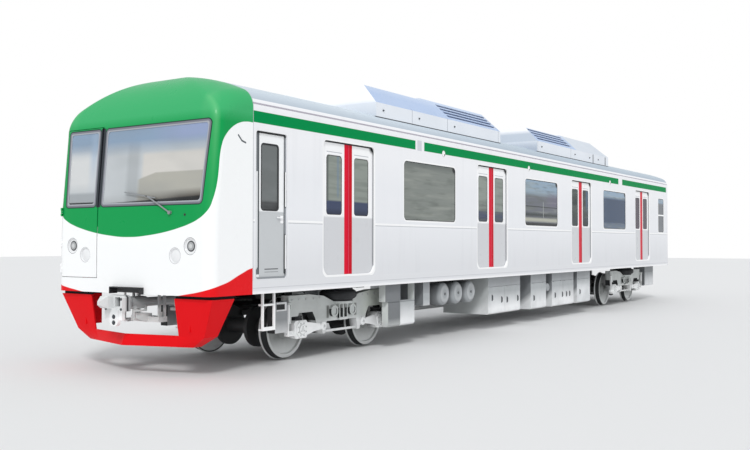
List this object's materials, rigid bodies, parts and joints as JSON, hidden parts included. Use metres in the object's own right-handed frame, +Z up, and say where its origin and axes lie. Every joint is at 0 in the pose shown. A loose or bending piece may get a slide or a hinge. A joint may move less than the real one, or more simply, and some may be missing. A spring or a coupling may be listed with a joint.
{
  "type": "metro car",
  "caption": "Driving car of a metro train: cab end with curved mask, sliding doors, roof units, two bogies, front coupler and rear gangway.",
  "frame": {"origin": "centre of the bounding box's floor: under the middle of the car, at the lowest point of the wheel flanges", "axes": "+X forward to the cab, +Y to the car's left, +Z up"},
  "size_m": [20.65, 2.95, 4.363],
  "materials": {
    "bellows": "matt",
    "bench_plastic": "satin",
    "black_trim": "matt",
    "body_paint": "satin",
    "bogie_paint": "matt",
    "case_paint": "matt",
    "coupler_paint": "matt",
    "deflector_paint": "gloss",
    "door_paint": "satin",
    "frame_trim": "satin",
    "glass": "gloss",
    "handrail": "brushed",
    "interior_panel": "matt",
    "lamp": "gloss",
    "louvre_paint": "matt",
    "mask_paint": "gloss",
    "roof_paint": "matt",
    "roof_unit": "satin",
    "seat_cover": "matt",
    "spring_rubber": "matt",
    "step_metal": "satin",
    "underframe_paint": "matt",
    "wheel_steel": "machined tread"
  },
  "bodies": {
    "car_body": {"air_conditioner_front": "roof_unit", "air_conditioner_louvres": "louvre_paint", "air_conditioner_rear": "roof_unit", "air_tanks": "case_paint", "benches": "bench_plastic", "bolsters": "underframe_paint", "cab_bulkhead": "interior_panel", "cab_handrails": "handrail", "cab_mask": "mask_paint", "cab_steps": "step_metal", "cantrails": "body_paint", "ceiling": "interior_panel", "coupler_hood": "black_trim", "coupler_pockets": "underframe_paint", "door_frames": "frame_trim", "door_hinges": "handrail", "driver_desk": "interior_panel", "driver_seat": "seat_cover", "end_wall": "body_paint", "equipment_cases": "case_paint", "gangway_bellows": "bellows", "grab_poles": "handrail", "lamps_left": "lamp", "obstacle_deflector": "deflector_paint", "roof": "roof_paint", "side_wall_left": "body_paint", "side_wall_right": "body_paint", "side_windows": "glass", "underframe": "underframe_paint", "windscreen": "glass", "windscreen_frame": "frame_trim", "wiper": "black_trim"},
    "front_bogie": {"bogie_frame_front": "bogie_paint", "axle_boxes_front": "bogie_paint", "bogie_springs_front": "spring_rubber"},
    "rear_bogie": {"bogie_frame_rear": "bogie_paint", "axle_boxes_rear": "bogie_paint", "bogie_springs_rear": "spring_rubber"},
    "left_leaves_forward": {"door_leaves_left_forward": "door_paint", "door_glass_left_forward": "glass"},
    "left_leaves_rearward": {"door_leaves_left_rearward": "door_paint", "door_glass_left_rearward": "glass"},
    "right_leaves_forward": {"door_leaves_right_forward": "door_paint", "door_glass_right_forward": "glass"},
    "right_leaves_rearward": {"door_leaves_right_rearward": "door_paint", "door_glass_right_rearward": "glass"},
    "cab_door_left": {"cab_door_left": "door_paint", "cab_door_glass_left": "glass"},
    "cab_door_right": {"cab_door_right": "door_paint", "cab_door_glass_right": "glass"},
    "emergency_door": {"emergency_door": "mask_paint", "emergency_door_glass": "glass", "emergency_door_frame": "frame_trim", "lamps_right": "lamp"},
    "front_coupler": {"coupler_head": "coupler_paint"},
    "rear_coupler": {"rear_drawbar": "coupler_paint"},
    "front_leading_wheelset": {"wheelset_front_leading": "wheel_steel"},
    "front_trailing_wheelset": {"wheelset_front_trailing": "wheel_steel"},
    "rear_leading_wheelset": {"wheelset_rear_leading": "wheel_steel"},
    "rear_trailing_wheelset": {"wheelset_rear_trailing": "wheel_steel"}
  },
  "joints": [
    {"name": "front_bogie_yaw", "type": "hinge", "parent": "car_body", "child": "front_bogie", "pos_m": [6.565, 0, 0.65], "axis": [0, 0, 1], "range_deg": [-4, 4]},
    {"name": "front_leading_wheels_turn", "type": "hinge", "parent": "front_bogie", "child": "front_leading_wheelset", "pos_m": [7.615, 0, 0.458], "axis": [0, 1, 0], "continuous": true},
    {"name": "front_trailing_wheels_turn", "type": "hinge", "parent": "front_bogie", "child": "front_trailing_wheelset", "pos_m": [5.515, 0, 0.458], "axis": [0, 1, 0], "continuous": true},
    {"name": "rear_bogie_yaw", "type": "hinge", "parent": "car_body", "child": "rear_bogie", "pos_m": [-7.235, 0, 0.65], "axis": [0, 0, 1], "range_deg": [-4, 4]},
    {"name": "rear_leading_wheels_turn", "type": "hinge", "parent": "rear_bogie", "child": "rear_leading_wheelset", "pos_m": [-6.185, 0, 0.458], "axis": [0, 1, 0], "continuous": true},
    {"name": "rear_trailing_wheels_turn", "type": "hinge", "parent": "rear_bogie", "child": "rear_trailing_wheelset", "pos_m": [-8.285, 0, 0.458], "axis": [0, 1, 0], "continuous": true},
    {"name": "left_forward_leaves_slide", "type": "slide", "parent": "car_body", "child": "left_leaves_forward", "axis": [1, 0, 0], "range_m": [0, 0.65]},
    {"name": "left_rearward_leaves_slide", "type": "slide", "parent": "car_body", "child": "left_leaves_rearward", "axis": [-1, 0, 0], "range_m": [0, 0.65]},
    {"name": "right_forward_leaves_slide", "type": "slide", "parent": "car_body", "child": "right_leaves_forward", "axis": [1, 0, 0], "range_m": [0, 0.65]},
    {"name": "right_rearward_leaves_slide", "type": "slide", "parent": "car_body", "child": "right_leaves_rearward", "axis": [-1, 0, 0], "range_m": [0, 0.65]},
    {"name": "cab_door_left_hinge", "type": "hinge", "parent": "car_body", "child": "cab_door_left", "pos_m": [9.04, 1.404, 2.2], "axis": [0, 0, 1], "range_deg": [0, 88]},
    {"name": "cab_door_right_hinge", "type": "hinge", "parent": "car_body", "child": "cab_door_right", "pos_m": [9.04, -1.404, 2.2], "axis": [0, 0, -1], "range_deg": [0, 88]},
    {"name": "emergency_door_hinge", "type": "hinge", "parent": "car_body", "child": "emergency_door", "pos_m": [9.867, -1.374, 2.2], "axis": [0, 0, -1], "range_deg": [0, 90]},
    {"name": "front_coupler_swing", "type": "hinge", "parent": "car_body", "child": "front_coupler", "pos_m": [8.915, 0, 0.908], "axis": [0, 0, 1], "range_deg": [-12, 12]},
    {"name": "rear_coupler_swing", "type": "hinge", "parent": "car_body", "child": "rear_coupler", "pos_m": [-9.665, 0, 0.908], "axis": [0, 0, 1], "range_deg": [-5, 5]}
  ],
  "couplings": [
    {"joint": "left_rearward_leaves_slide", "follows": "left_forward_leaves_slide", "ratio": 1},
    {"joint": "right_rearward_leaves_slide", "follows": "right_forward_leaves_slide", "ratio": 1}
  ]
}
